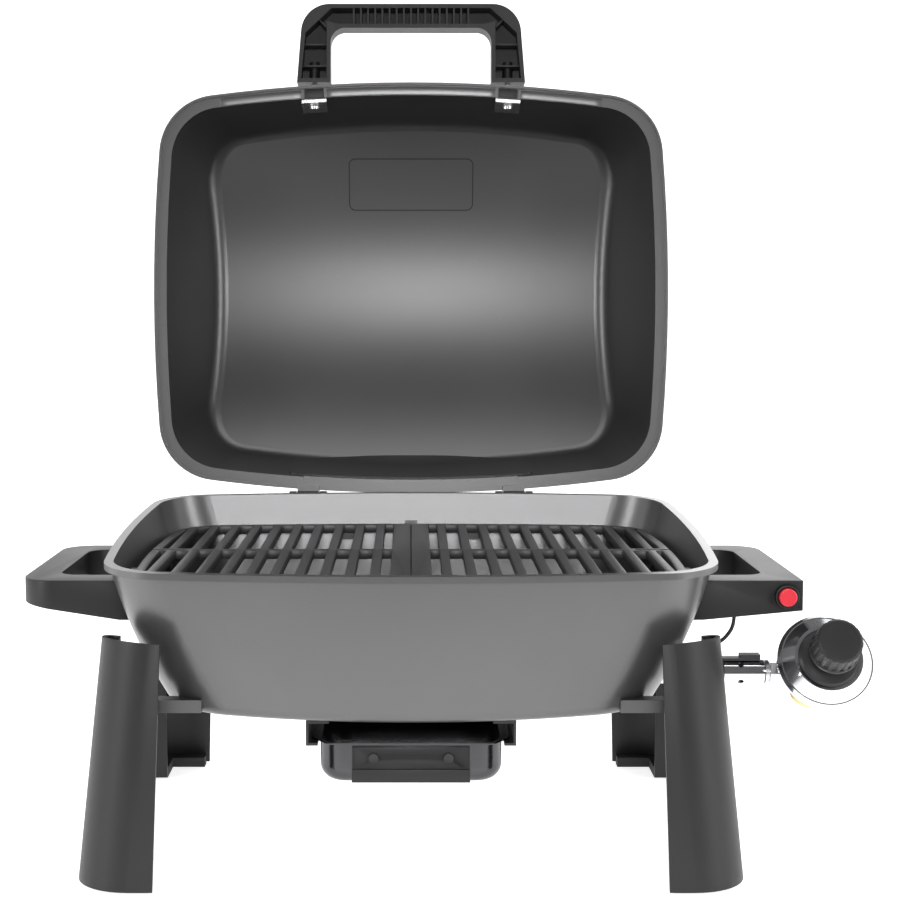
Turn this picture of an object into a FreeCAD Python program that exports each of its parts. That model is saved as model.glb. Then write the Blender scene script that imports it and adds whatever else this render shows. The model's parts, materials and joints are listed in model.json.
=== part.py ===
"""Folding camp grill with its lid open, as separate named pieces.

Every piece is laid out about the middle of the basin: X to the right, Y to the back, Z up from
the surface that it stands on. At the end all pieces move together, so that the origin is under
the middle of the whole object.
"""

import FreeCAD, Part
import math
import os
import re
import Sketcher
from FreeCAD import Placement, Rotation, Vector

SIZES = {
    # middle of the whole object, seen from the middle of the basin
    "middle_x": 28.0,
    "middle_y": 76.507,
    # basin rim, in a plane that rises to the back
    "rim_x": 245.0,
    "rim_y": 190.8,
    "rim_level": 253.3,
    "rim_tilt": 3.38,
    "rim_lip": 3.2,
    "rim_depth": 5.0,
    "side_bow": 1700.0,
    "front_bow": 1500.0,
    "corner": 52.0,
    # basin wall, at three depths below the rim
    "basin_wall": 4.0,
    "waist_x": 217.5,
    "waist_y": 172.5,
    "waist_depth": 75.0,
    "skirt_x": 193.0,
    "skirt_y": 158.0,
    "skirt_depth": 125.0,
    "base_x": 172.0,
    "base_y": 144.0,
    "base_depth": 160.0,
    "floor_level": 120.0,
    "floor_bow": 2256.0,
    "floor_round": 13.0,
    "drain_radius": 9.0,
    "ledge_top": 227.8,
    "ledge_depth": 6.0,
    # hinge of the lid, and how far the lid is open
    "hinge_y": 205.5,
    "hinge_level": 257.0,
    "hinge_pin": 3.0,
    "hinge_round": 7.0,
    "hinge_x": 100.0,
    "knuckle_half": 10.5,
    "ear_gap": 0.7,
    "ear_thick": 7.0,
    "lid_open": 98.2,
    # lid
    "lid_x": 251.0,
    "lid_y": 200.5,
    "lid_gap": 0.6,
    "lid_flange": 7.0,
    "lid_corner": 58.0,
    "lid_wall": 4.0,
    "lid_low_x": 243.0,
    "lid_low_y": 192.5,
    "lid_mid_x": 227.0,
    "lid_mid_y": 176.5,
    "lid_mid_depth": 60.0,
    "lid_top_x": 197.0,
    "lid_top_y": 152.5,
    "lid_top_depth": 118.0,
    "lid_peak": 116.0,
    "lid_bow": 337.0,
    "lid_round": 20.0,
    "mouth_x": 237.5,
    "mouth_y": 187.0,
    "mouth_depth": 2.0,
    "vent_half": 105.0,
    # lid handle
    "grip_half": 111.5,
    "grip_hole": 78.5,
    "grip_reach": 77.0,
    "grip_bar": 23.5,
    "grip_thick": 25.0,
    "grip_wall": 4.0,
    "grip_corner": 28.0,
    "grip_inner": 14.0,
    "grip_lean": 6.0,
    "grip_rib": 1.8,
    "grip_rib_pitch": 7.0,
    "grip_screw_x": 95.0,
    "grip_screw_up": 14.0,
    "screw_radius": 2.5,
    "screw_head": 5.0,
    "screw_seat": -179.9,
    "plate_sheet": 3.0,
    # side handles
    "hold_reach": 314.0,
    "hold_front": 100.0,
    "hold_back": 104.0,
    "hold_hole_front": 70.0,
    "hold_hole_back": 75.0,
    "hold_hole": 288.0,
    "hold_top": 225.0,
    "hold_low_in": 193.0,
    "hold_low_out": 207.0,
    "hold_corner": 27.0,
    "hold_root": 222.0,
    "hold_bolt": 2.9,
    "hold_bolt_level": 211.0,
    # igniter button in the right handle
    "spark_x": 301.0,
    "spark_level": 212.0,
    "spark_button": 7.2,
    "spark_bezel": 9.6,
    "spark_module": 6.5,
    "spark_boss_low": 201.5,
    "spring_radius": 4.5,
    "spring_wire": 0.5,
    "spring_pitch": 1.6,
    # folding legs
    "leg_top": 195.0,
    "leg_base": 1.5,
    "leg_in_top": 190.0,
    "leg_out_top": 240.0,
    "leg_in_low": 196.0,
    "leg_out_low": 259.0,
    "leg_front_top": 181.0,
    "leg_front_low": 195.5,
    "leg_back_top": 122.0,
    "leg_back_low": 134.5,
    "leg_flange": 229.0,
    "leg_wall": 3.2,
    "leg_corner": 44.0,
    "leg_heel": 9.0,
    "leg_middle": -3.5,
    "leg_pin_x": 215.0,
    "leg_pin_level": 134.0,
    "leg_pin": 3.5,
    "leg_boss": 7.5,
    "lug_near": 130.5,
    "lug_arm": 146.0,
    "lug_far": 170.5,
    # gas burner
    "burner_level": 160.0,
    "burner_run": 90.0,
    "burner_bend": 70.0,
    "burner_tube": 9.0,
    "burner_bore": 8.0,
    # venturi tube, regulator and knob
    "gas_y": -78.0,
    "gas_level": 146.5,
    "venturi_radius": 9.8,
    "venturi_bore": 8.6,
    "venturi_in": 192.0,
    "venturi_out": 287.0,
    "air_hole": 2.4,
    "air_x": 268.0,
    "valve_x": 331.0,
    "valve_y": -110.0,
    "valve_level": 161.0,
    "valve_tilt": 60.0,
    "valve_ring": 39.0,
    "knob_radius": 18.5,
    "knob_face": 53.0,
    "inlet_thread": 12.7,
    "inlet_length": 20.0,
    "inlet_round": 15.5,
    # spark electrode and its lead
    "electrode_y": -50.0,
    "electrode_level": 152.0,
    "electrode_radius": 3.4,
    "lead_radius": 1.5,
    # drip tray and its rails
    "tray_half": 73.5,
    "tray_rim": 80.3,
    "tray_front": 112.0,
    "tray_back": 104.0,
    "tray_low": 62.0,
    "tray_top": 95.4,
    "tray_sheet": 1.2,
    "tray_corner": 22.0,
    "tray_round": 13.0,
    "rail_out": 84.5,
    "rail_low": 92.0,
    "rail_top": 112.0,
    "rail_sheet": 2.0,
    "rail_screw_x": 76.0,
    "rail_screw_y": 82.0,
    "tray_grip_half": 47.0,
    # cast-iron grates
    "grate_x": 222.0,
    "grate_y": 176.0,
    "grate_top": 236.0,
    "grate_depth": 8.0,
    "grate_corner": 46.0,
    "grate_bar": 8.0,
    "grate_pitch": 19.6,
    "grate_plate": 16.4,
    "grate_first": 32.4,
}
GRATE_SLOTS = 10
KNOB_FLUTES = 18
GRIP_RIBS = 17
SPRING_RINGS = 4
LEAD_ROUTE = (
    (262.0, -86.0, 197.5),
    (261.0, -84.5, 184.0),
    (254.5, -77.0, 172.0),
    (242.0, -66.0, 163.5),
    (228.5, -55.5, 155.5),
    (213.0, -50.0, 152.0),
)

doc = FreeCAD.newDocument("camp_grill")
sheet = doc.addObject("Spreadsheet::Sheet", "Sizes")
for row, (alias, number) in enumerate(SIZES.items(), 1):
    sheet.set(f"A{row}", alias.replace("_", " "))
    sheet.set(f"B{row}", str(number))
    sheet.setAlias(f"B{row}", alias)
doc.recompute()

NODES = []


# ---- expressions, sketches and features ----

def cells(text):
    """Names of sizes in an expression, written out as cells of the sheet."""
    return re.sub(r"[a-z_]+", lambda word: "Sizes." + word[0] if word[0] in SIZES else word[0], str(text))


def worth(text):
    """Value of an expression of sizes."""
    return float(sheet.evalExpression(cells(text)))


def bind(thing, place, text):
    thing.setExpression(place, cells(text))


def finished(thing, label, placement=None):
    """Keep an object as a sub-part, with its name and its place."""
    thing.Label = label
    NODES.append((thing, placement or Placement()))
    return thing


def free_sketch(name, level="0"):
    """Flat sketch outside a body, at a level."""
    sketch = doc.addObject("Sketcher::SketchObject", name)
    bind(sketch, "Placement.Base.z", level)
    return sketch


def body_sketch(body, name, role="XY_Plane", level="0"):
    """Sketch on one of a body's own origin planes."""
    sketch = body.newObject("Sketcher::SketchObject", name)
    plane = next(item for item in body.Origin.OriginFeatures if item.Role == role)
    sketch.AttachmentSupport = [(plane, "")]
    sketch.MapMode = "FlatFace"
    bind(sketch, "AttachmentOffset.Base.z", level)
    return sketch


def outline(sketch, corners):
    """Closed run of straight edges. A corner is a pair of expressions, and a third rounds it."""
    spots = [Vector(worth(corner[0]), worth(corner[1]), 0) for corner in corners]
    count = len(spots)
    first = sketch.GeometryCount
    start = sketch.ConstraintCount
    edges = []
    rules = []
    ends = {}
    arcs = []
    for i, (spot, corner) in enumerate(zip(spots, corners)):
        ends[i] = (spot, spot)
        if len(corner) == 2:
            continue
        back = (spots[i - 1] - spot).normalize()
        ahead = (spots[(i + 1) % count] - spot).normalize()
        half = back.getAngle(ahead) / 2
        radius = worth(corner[2])
        centre = spot + (back + ahead).normalize() * (radius / math.sin(half))
        ends[i] = (spot + back * (radius / math.tan(half)), spot + ahead * (radius / math.tan(half)))
        left_turn = back.cross(ahead).z < 0
        low, high = ends[i] if left_turn else ends[i][::-1]
        angles = [math.atan2(point.y - centre.y, point.x - centre.x) for point in (low, high)]
        arcs.append((i, Part.ArcOfCircle(Part.Circle(centre, Vector(0, 0, 1), radius), *angles), left_turn,
                     centre, radius))
    for i in range(count):
        edges.append(Part.LineSegment(ends[i][1], ends[(i + 1) % count][0]))
    edges += [arc for _, arc, _, _, _ in arcs]
    sketch.addGeometry(edges)
    rounded_corners = set()
    for place, (i, _, left_turn, centre, radius) in enumerate(arcs):
        edge = first + count + place
        rounded_corners.add(i)
        x, y, size = corners[i]
        arc_in, arc_out = (1, 2) if left_turn else (2, 1)
        side_x = 1 if centre.x > spots[i].x else -1
        side_y = 1 if centre.y > spots[i].y else -1
        rules += [
            (Sketcher.Constraint("Tangent", first + (i - 1) % count, 2, edge, arc_in), None),
            (Sketcher.Constraint("Tangent", edge, arc_out, first + i, 1), None),
            (Sketcher.Constraint("DistanceX", -1, 1, edge, 3, centre.x), f"{x} + {side_x} * ({size})"),
            (Sketcher.Constraint("DistanceY", -1, 1, edge, 3, centre.y), f"{y} + {side_y} * ({size})"),
            (Sketcher.Constraint("Radius", edge, radius), size),
        ]
    for i, spot in enumerate(spots):
        if i in rounded_corners:
            continue
        rules += [
            (Sketcher.Constraint("Coincident", first + (i - 1) % count, 2, first + i, 1), None),
            (Sketcher.Constraint("DistanceX", -1, 1, first + i, 1, spot.x), corners[i][0]),
            (Sketcher.Constraint("DistanceY", -1, 1, first + i, 1, spot.y), corners[i][1]),
        ]
    sketch.addConstraint([rule for rule, _ in rules])
    for i, (_, text) in enumerate(rules):
        if text is not None:
            bind(sketch, f"Constraints[{start + i}]", text)
    return sketch


def circle(sketch, x, y, radius):
    start = sketch.ConstraintCount
    edge = sketch.addGeometry(Part.Circle(Vector(worth(x), worth(y), 0), Vector(0, 0, 1), worth(radius)))
    sketch.addConstraint([
        Sketcher.Constraint("DistanceX", -1, 1, edge, 3, worth(x)),
        Sketcher.Constraint("DistanceY", -1, 1, edge, 3, worth(y)),
        Sketcher.Constraint("Radius", edge, worth(radius)),
    ])
    for i, text in enumerate((x, y, radius)):
        bind(sketch, f"Constraints[{start + i}]", text)
    return sketch


def bowed(sketch, half_x, half_y, corner):
    """Rounded rectangle whose four sides bow outwards: a loop of eight tangent arcs."""
    hx, hy, r = worth(half_x), worth(half_y), worth(corner)
    rx, ry = worth("side_bow"), worth("front_bow")
    side, end = hx - rx, hy - ry
    reach_side, reach_end = rx - r, ry - r
    gap = math.hypot(side, end)
    along = (reach_side ** 2 - reach_end ** 2 + gap ** 2) / (2 * gap)
    off = math.sqrt(reach_side ** 2 - along ** 2)
    cx = side - side / gap * along - end / gap * off
    cy = end / gap * along - side / gap * off
    lean_side = math.atan2(cy, cx - side)
    lean_end = math.atan2(cy - end, cx)
    quarter = math.pi / 2
    arcs = (
        (side, 0, rx, -lean_side, lean_side),
        (cx, cy, r, lean_side, lean_end),
        (0, end, ry, lean_end, 2 * quarter - lean_end),
        (-cx, cy, r, 2 * quarter - lean_end, 2 * quarter - lean_side),
        (-side, 0, rx, 2 * quarter - lean_side, 2 * quarter + lean_side),
        (-cx, -cy, r, 2 * quarter + lean_side, 2 * quarter + lean_end),
        (0, -end, ry, 2 * quarter + lean_end, 4 * quarter - lean_end),
        (cx, -cy, r, 4 * quarter - lean_end, 4 * quarter - lean_side),
    )
    sketch.addGeometry([
        Part.ArcOfCircle(Part.Circle(Vector(x, y, 0), Vector(0, 0, 1), radius), start, stop)
        for x, y, radius, start, stop in arcs
    ])
    rules = [Sketcher.Constraint("Tangent", i, 2, (i + 1) % 8, 1) for i in range(8)]
    rules += [Sketcher.Constraint("Equal", 1, i) for i in (3, 5, 7)]
    rules += [Sketcher.Constraint("Equal", 0, 4), Sketcher.Constraint("Equal", 2, 6)]
    rules += [Sketcher.Constraint("PointOnObject", i, 3, -1) for i in (0, 4)]
    rules += [Sketcher.Constraint("PointOnObject", i, 3, -2) for i in (2, 6)]
    sketch.addConstraint(rules)
    start = sketch.ConstraintCount
    sketch.addConstraint([
        Sketcher.Constraint("Radius", 0, rx),
        Sketcher.Constraint("Radius", 1, r),
        Sketcher.Constraint("Radius", 2, ry),
        Sketcher.Constraint("DistanceX", -1, 1, 0, 3, side),
        Sketcher.Constraint("DistanceX", -1, 1, 4, 3, -side),
        Sketcher.Constraint("DistanceY", -1, 1, 2, 3, end),
        Sketcher.Constraint("DistanceY", -1, 1, 6, 3, -end),
    ])
    bound = ("side_bow", corner, "front_bow", f"({half_x}) - side_bow", f"side_bow - ({half_x})",
             f"({half_y}) - front_bow", f"front_bow - ({half_y})")
    for i, text in enumerate(bound):
        bind(sketch, f"Constraints[{start + i}]", text)
    return sketch


def extruded(name, sketch, length):
    part = doc.addObject("Part::Extrusion", name)
    part.Base = sketch
    part.DirMode = "Normal"
    part.Solid = True
    bind(part, "LengthFwd", length)
    return part


def lofted(name, sketches):
    part = doc.addObject("Part::Loft", name)
    part.Sections = sketches
    part.Solid = True
    part.Ruled = False
    return part


def block(name, x, y, z):
    """Box between three pairs of expressions."""
    part = doc.addObject("Part::Box", name)
    for side, axis, (low, high) in zip(("Length", "Width", "Height"), "xyz", (x, y, z)):
        bind(part, side, f"({high}) - ({low})")
        bind(part, f"Placement.Base.{axis}", low)
    return part


TURNS = {"x": Rotation(Vector(0, 1, 0), 90), "y": Rotation(Vector(1, 0, 0), -90), "z": Rotation()}


def rod(name, axis, start, radius, length):
    """Cylinder from a starting point along X, Y or Z."""
    part = doc.addObject("Part::Cylinder", name)
    part.Placement = Placement(Vector(), TURNS[axis])
    bind(part, "Radius", radius)
    bind(part, "Height", length)
    for letter, text in zip("xyz", start):
        bind(part, f"Placement.Base.{letter}", text)
    return part


def joined(name, parts):
    part = doc.addObject("Part::MultiFuse", name)
    part.Shapes = parts
    part.Refine = True
    return part


def shared(name, parts):
    part = doc.addObject("Part::MultiCommon", name)
    part.Shapes = parts
    return part


def less(name, base, tools):
    part = doc.addObject("Part::Cut", name)
    part.Base = base
    part.Tool = tools[0] if len(tools) == 1 else joined(name + "_tools", tools)
    return part


def grouped(name, parts):
    part = doc.addObject("Part::Compound", name)
    part.Links = parts
    return part


def mirrored(name, source, normal=(1, 0, 0), base=(0, 0, 0)):
    part = doc.addObject("Part::Mirroring", name)
    part.Source = source
    part.Normal = Vector(*normal)
    part.Base = Vector(*base)
    return part


def edges_where(shape, test):
    return [i for i, edge in enumerate(shape.Edges, 1) if test(edge)]


def rounded(name, base, test, radius):
    """Round the edges that pass a test."""
    doc.recompute()
    part = doc.addObject("Part::Fillet", name)
    part.Base = base
    size = worth(radius)
    part.Edges = [(i, size, size) for i in edges_where(base.Shape, test)]
    return part


def pad(body, sketch, length, name, backwards=False):
    part = body.newObject("PartDesign::Pad", name)
    part.Profile = sketch
    part.Reversed = backwards
    bind(part, "Length", length)
    return part


def pocket(body, sketch, length, name, backwards=False):
    part = body.newObject("PartDesign::Pocket", name)
    part.Profile = sketch
    part.Reversed = backwards
    bind(part, "Length", length)
    return part


def body_fillet(body, test, radius, name):
    doc.recompute()
    base = body.Tip
    part = body.newObject("PartDesign::Fillet", name)
    part.Base = (base, [f"Edge{i}" for i in edges_where(base.Shape, test)])
    bind(part, "Radius", radius)
    doc.recompute()
    return part


def upright(edge, x_low, x_high, y_low, y_high):
    """Whether an edge runs up within a box seen from above."""
    if len(edge.Vertexes) < 2:
        return False
    a, b = (vertex.Point for vertex in edge.Vertexes)
    if abs(b.z - a.z) < 0.8 * (b - a).Length:
        return False
    mid = (a + b) * 0.5
    return x_low < mid.x < x_high and y_low < mid.y < y_high


def turned(label, profile, placement=None):
    """Body revolved about its own Z axis from (radius, height) corners."""
    body = doc.addObject("PartDesign::Body", label)
    sketch = outline(body_sketch(body, label + "_profile", "XZ_Plane"), profile)
    spin = body.newObject("PartDesign::Revolution", label + "_spin")
    spin.Profile = sketch
    spin.ReferenceAxis = (sketch, ["V_Axis"])
    spin.Angle = 360
    return finished(body, label, placement)


# ---- places of the tilted groups ----

X_AXIS = Vector(1, 0, 0)
RIM = Placement(Vector(0, 0, worth("rim_level")), Rotation(X_AXIS, worth("rim_tilt")))
HINGE = Vector(0, worth("hinge_y"), worth("hinge_level"))
CLOSED_LID = RIM * Placement(Vector(0, 0, worth("lid_gap")), Rotation())
SWING = Placement(HINGE, Rotation(X_AXIS, -worth("lid_open"))) * Placement(-HINGE, Rotation())
OPEN_LID = SWING * CLOSED_LID
VALVE = Placement(Vector(worth("valve_x"), worth("valve_y"), worth("valve_level")),
                  Rotation(X_AXIS, worth("valve_tilt")))


# ---- basin ----

def tub(name, inset, floor, bow, rounding):
    """Solid of the basin's outside, or of its hollow when inset by the wall."""
    levels = (("0", "rim_x - rim_lip", "rim_y - rim_lip", "0"),
              ("-waist_depth", "waist_x", "waist_y", "4"),
              ("-skirt_depth", "skirt_x", "skirt_y", "8"),
              ("-base_depth", "base_x", "base_y", "10"))
    sections = [
        bowed(free_sketch(f"{name}_outline_{i}", level), f"{x} - {inset}", f"{y} - {inset}",
              f"corner - {inset} + {more}")
        for i, (level, x, y, more) in enumerate(levels)
    ]
    wall = lofted(name + "_wall", sections)
    wall.Placement = RIM
    crown = rod(name + "_crown", "y", ("0", "-rim_x", f"{floor} + {bow}"), bow, "2 * rim_x")
    solid = shared(name + "_solid", [wall, crown])
    low = worth(floor)

    def bottom_edge(edge):
        box = edge.BoundBox
        return box.ZMax < low + 22 and box.ZMin < low + 21

    return rounded(name + "_rounded", solid, bottom_edge, rounding)


def basin():
    outside = tub("tub", "0", "floor_level", "floor_bow", "floor_round")
    hollow = tub("hollow", "basin_wall", "floor_level + basin_wall", "floor_bow - basin_wall",
                 "floor_round - basin_wall")
    lip_sketch = bowed(free_sketch("lip_outline", "-rim_depth"), "rim_x", "rim_y", "corner")
    lip = extruded("lip", lip_sketch, "rim_depth")
    lip.Placement = RIM
    adds = [outside, lip]
    for side in (-1, 1):
        for end in (-1, 1):
            arm_x = sorted((f"{side} * 163", f"{side} * leg_pin_x"), key=worth)
            arm_y = sorted((f"leg_middle + {end} * lug_near", f"leg_middle + {end} * lug_arm"), key=worth)
            eye_y = sorted((f"leg_middle + {end} * lug_near", f"leg_middle + {end} * lug_far"), key=worth)
            adds.append(block("lug_arm", arm_x, arm_y, ("leg_pin_level - 5", "leg_pin_level + 5")))
            adds.append(rod("lug_eye", "y", (f"{side} * leg_pin_x", eye_y[0], "leg_pin_level"), "leg_boss",
                            "lug_far - lug_near"))
        for end in (-1, 1):
            adds.append(rod("tray_post", "z", (f"{side} * rail_screw_x", f"{end} * rail_screw_y", "rail_top"),
                            "5", "14"))
            middle = f"{side} * hinge_x"
            offset = f"{end} * (knuckle_half + ear_gap + ear_thick / 2)"
            ear = (f"{middle} + {offset} - ear_thick / 2", f"{middle} + {offset} + ear_thick / 2")
            adds.append(rod("hinge_eye", "x", (ear[0], "hinge_y", "hinge_level"), "hinge_round", "ear_thick"))
            adds.append(block("hinge_arm", ear, ("180", "hinge_y"), ("hinge_level - hinge_round", "hinge_level")))
            adds.append(block("hinge_web", ear, ("178", "196"), ("236", "hinge_level - hinge_round + 1")))
    casting = joined("basin_casting", adds)
    holes = [hollow]
    for side in (-1, 1):
        holes.append(rod("leg_pin_hole_front", "y", (f"{side} * leg_pin_x", "-190", "leg_pin_level"),
                         "leg_pin + 0.05", "70"))
        holes.append(rod("leg_pin_hole_back", "y", (f"{side} * leg_pin_x", "113", "leg_pin_level"),
                         "leg_pin + 0.05", "70"))
        holes.append(rod("hinge_hole", "x", (f"{side} * hinge_x - 25", "hinge_y", "hinge_level"),
                         "hinge_pin + 0.05", "50"))
        for end in (-1, 1):
            holes.append(rod("post_hole", "z", (f"{side} * rail_screw_x", f"{end} * rail_screw_y",
                                                "rail_top - 1"), "screw_radius + 0.05", "9"))
            holes.append(rod("bolt_hole", "x", (f"{side} * 232 - 20", f"{end} * 86", "hold_bolt_level"),
                             "hold_bolt + 0.1", "40"))
    holes.append(rod("drain", "z", ("0", "0", "floor_level - 5"), "drain_radius", "20"))
    holes.append(rod("venturi_hole", "x", ("180", "gas_y", "gas_level"), "venturi_radius + 0.3", "45"))
    holes.append(rod("electrode_hole", "x", ("180", "electrode_y", "electrode_level"),
                     "electrode_radius + 0.1", "45"))
    shell = less("basin_shell", casting, holes)
    ledges = []
    for side in (-1, 1):
        across = sorted((f"{side} * 50", f"{side} * 72"), key=worth)
        under = ("ledge_top - ledge_depth", "ledge_top")
        ledges.append(block("ledge_front", across, ("-179.4", "-170"), under))
        ledges.append(block("ledge_back", across, ("170", "178"), under))
        outward = sorted((f"{side} * 214", f"{side} * 231"), key=worth)
        for end in (-1, 1):
            along = sorted((f"{end} * 50", f"{end} * 72"), key=worth)
            ledges.append(block("ledge_side", outward, along, under))
    ledges.append(block("locating_boss", ("-6", "6"), ("177", "182"), ("ledge_top", "238.5")))
    finished(joined("basin", [shell] + ledges), "basin")


# ---- gas burner inside the basin ----

def burner():
    def loop(name, radius):
        runs = [
            rod(f"{name}_run", "x", ("-burner_run", f"leg_middle + {side} * burner_bend", "burner_level"),
                radius, "2 * burner_run")
            for side in (-1, 1)
        ]
        for end, start in ((1, -90), (-1, 90)):
            bend = doc.addObject("Part::Torus", f"{name}_bend")
            bind(bend, "Radius1", "burner_bend")
            bind(bend, "Radius2", radius)
            bend.Angle3 = 180
            bend.Placement = Placement(Vector(), Rotation(Vector(0, 0, 1), start))
            bind(bend, "Placement.Base.x", f"{end} * burner_run")
            bind(bend, "Placement.Base.y", "leg_middle")
            bind(bend, "Placement.Base.z", "burner_level")
            runs.append(bend)
        feed = rod(f"{name}_feed", "x", ("60", "gas_y", "gas_level"), radius, "venturi_in - 60.2")
        return runs + [feed]

    solid = joined("burner_outside", loop("tube", "burner_tube"))
    bore = joined("burner_inside", loop("bore", "burner_bore"))
    finished(less("burner_tube", solid, [bore]), "burner_tube")

    strap = block("strap", ("-10", "10"), ("-86", "80"), ("floor_level + basin_wall + 0.1", "127"))
    posts = [
        block("post", ("-10", "10"), (f"leg_middle + {side} * burner_bend - 10",
                                      f"leg_middle + {side} * burner_bend + 10"), ("126", "160"))
        for side in (-1, 1)
    ]
    saddles = [
        rod("saddle", "x", ("-12", f"leg_middle + {side} * burner_bend", "burner_level"),
            "burner_tube + 0.1", "24")
        for side in (-1, 1)
    ]
    relief = block("relief", ("-11", "11"), ("leg_middle - burner_bend + 12", "leg_middle + burner_bend - 12"),
                   ("127", "170"))
    finished(less("burner_bracket", joined("bracket_blank", [strap] + posts), saddles + [relief]),
             "burner_bracket")


def venturi():
    tube = rod("venturi_tube_outside", "x", ("venturi_in", "gas_y", "gas_level"), "venturi_radius",
               "venturi_out - venturi_in")
    bore = rod("venturi_bore", "x", ("venturi_in - 1", "gas_y", "gas_level"), "venturi_bore",
               "venturi_out - venturi_in + 2")
    cuts = [bore]
    for i in range(4):
        hole = rod(f"air_hole_{i}", "z", ("air_x", "gas_y", "gas_level"), "air_hole", "2 * venturi_radius")
        hole.Placement = Placement(Vector(), Rotation(X_AXIS, 45 + 90 * i))
        bind(hole, "Placement.Base.x", "air_x")
        bind(hole, "Placement.Base.y", "gas_y")
        bind(hole, "Placement.Base.z", "gas_level")
        cuts.append(hole)
    finished(less("venturi_tube", tube, cuts), "venturi_tube")
    arm = block("clip_arm", ("240", "284"), ("gas_y - 5", "gas_y + 5"),
                ("gas_level + venturi_radius + 0.1", "gas_level + venturi_radius + 2.1"))
    step = block("clip_step", ("268", "284"), ("gas_y - 5", "gas_y + 5"),
                 ("gas_level + venturi_radius + 2", "gas_level + venturi_radius + 5"))
    band = rod("clip_band", "x", ("247", "gas_y", "gas_level"), "venturi_radius + 1.8", "7")
    hole = rod("clip_hole", "x", ("230", "gas_y", "gas_level"), "venturi_radius + 0.1", "60")
    finished(less("venturi_clip", joined("clip_blank", [arm, step, band]), [hole]), "venturi_clip")


def regulator():
    turned("regulator_body", (("0", "-50"), ("17", "-50"), ("22", "-44"), ("22", "-24"), ("34", "-16"),
                              ("34", "-6"), ("0", "-6")), VALVE)
    turned("regulator_ring", (("33", "-5.9"), ("36", "-5.9"), ("valve_ring", "-3"), ("valve_ring", "1"),
                              ("36.5", "3.5"), ("35.5", "3.5"), ("27", "11"), ("24.3", "11"), ("24.3", "8"),
                              ("33", "0.5")), VALVE)
    turned("regulator_shroud", (("3.4", "-5.8"), ("24", "-5.8"), ("24", "11.5"), ("22", "13"), ("13", "14.5"),
                                ("12", "27"), ("3.4", "27")), VALVE)
    body = doc.addObject("PartDesign::Body", "cylinder_inlet")
    nut = body_sketch(body, "inlet_nut", "XY_Plane", "-50.1")
    circle(nut, "0", "0", "inlet_round")
    pad(body, nut, "inlet_length + 3", "inlet_pad", backwards=True)
    thread = circle(body_sketch(body, "inlet_thread_mark", "XY_Plane", "-53.1"), "0", "0", "inlet_thread")
    pocket(body, thread, "inlet_length", "inlet_bore")
    finished(body, "cylinder_inlet", VALVE)
    neck = rod("neck", "x", ("276", "gas_y", "gas_level"), "5.5", "32.6")
    spud = rod("spud", "x", ("274", "gas_y", "gas_level"), "4", "3")
    flange = rod("neck_flange", "x", ("288", "gas_y", "gas_level"), "9.9", "3")
    finished(joined("outlet_neck", [neck, spud, flange]), "outlet_neck")
    nut_body = doc.addObject("PartDesign::Body", "outlet_nut")
    hexagon = body_sketch(nut_body, "hexagon", "YZ_Plane", "292")
    outline(hexagon, [(f"gas_y + 9.5 * cos({60 * i})", f"gas_level + 9.5 * sin({60 * i})") for i in range(6)])
    pad(nut_body, hexagon, "9", "nut_pad")
    circle(body_sketch(nut_body, "nut_hole", "YZ_Plane", "291"), "gas_y", "gas_level", "5.6")
    pocket(nut_body, nut_body.Group[-1], "12", "nut_bore", backwards=True)
    finished(nut_body, "outlet_nut")


def control_knob():
    body = turned("control_knob", (("3.05", "29"), ("knob_radius + 1", "29"), ("knob_radius + 1", "32"),
                                   ("knob_radius", "34"), ("knob_radius - 0.6", "knob_face - 2"),
                                   ("knob_radius - 2.6", "knob_face"), ("0", "knob_face"), ("0", "42"),
                                   ("3.05", "42")), VALVE)
    flute = circle(body_sketch(body, "flute_mark", "XY_Plane", "33"), "knob_radius + 1.2", "0", "2.2")
    groove = pocket(body, flute, "knob_face - 32", "flute", backwards=True)
    ring = body.newObject("PartDesign::PolarPattern", "flutes")
    ring.Originals = [groove]
    axis = next(item for item in body.Origin.OriginFeatures if item.Role == "Z_Axis")
    ring.Axis = (axis, [""])
    ring.Angle = 360
    ring.Occurrences = KNOB_FLUTES
    body.Tip = ring
    turned("knob_stem", (("0", "-5"), ("3", "-5"), ("3", "41.8"), ("0", "41.8")), VALVE)


# ---- spark igniter ----

def igniter():
    face = "-hold_front"
    ring = rod("bezel_ring", "y", ("spark_x", f"{face} - 3", "spark_level"), "spark_bezel", "5")
    hole = rod("bezel_hole", "y", ("spark_x", f"{face} - 4", "spark_level"), "spark_button + 0.3", "8")
    finished(less("igniter_bezel", ring, [hole]), "igniter_bezel")
    cap = rod("cap", "y", ("spark_x", f"{face} - 6.5", "spark_level"), "spark_button", "14.5")
    doc.recompute()
    soft = rounded("button_soft", cap, lambda edge: edge.BoundBox.YMax < worth(f"{face} - 6"), "1.2")
    finished(grouped("igniter_button", [soft]), "igniter_button")
    module = rod("module", "y", ("spark_x", f"{face} + 14.2", "spark_level"), "spark_module", "26")
    finished(grouped("igniter_module", [module]), "igniter_module")
    igniter_spring(f"{face} + 8.6")
    ceramic = rod("ceramic", "x", ("176", "electrode_y", "electrode_level"), "electrode_radius", "36")
    collar = rod("collar", "x", ("180", "electrode_y", "electrode_level"), "electrode_radius + 1.6", "6")
    needle = rod("needle", "x", ("152", "electrode_y", "electrode_level"), "1", "25")
    finished(joined("spark_electrode", [ceramic, collar, needle]), "spark_electrode")
    igniter_lead()


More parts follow.
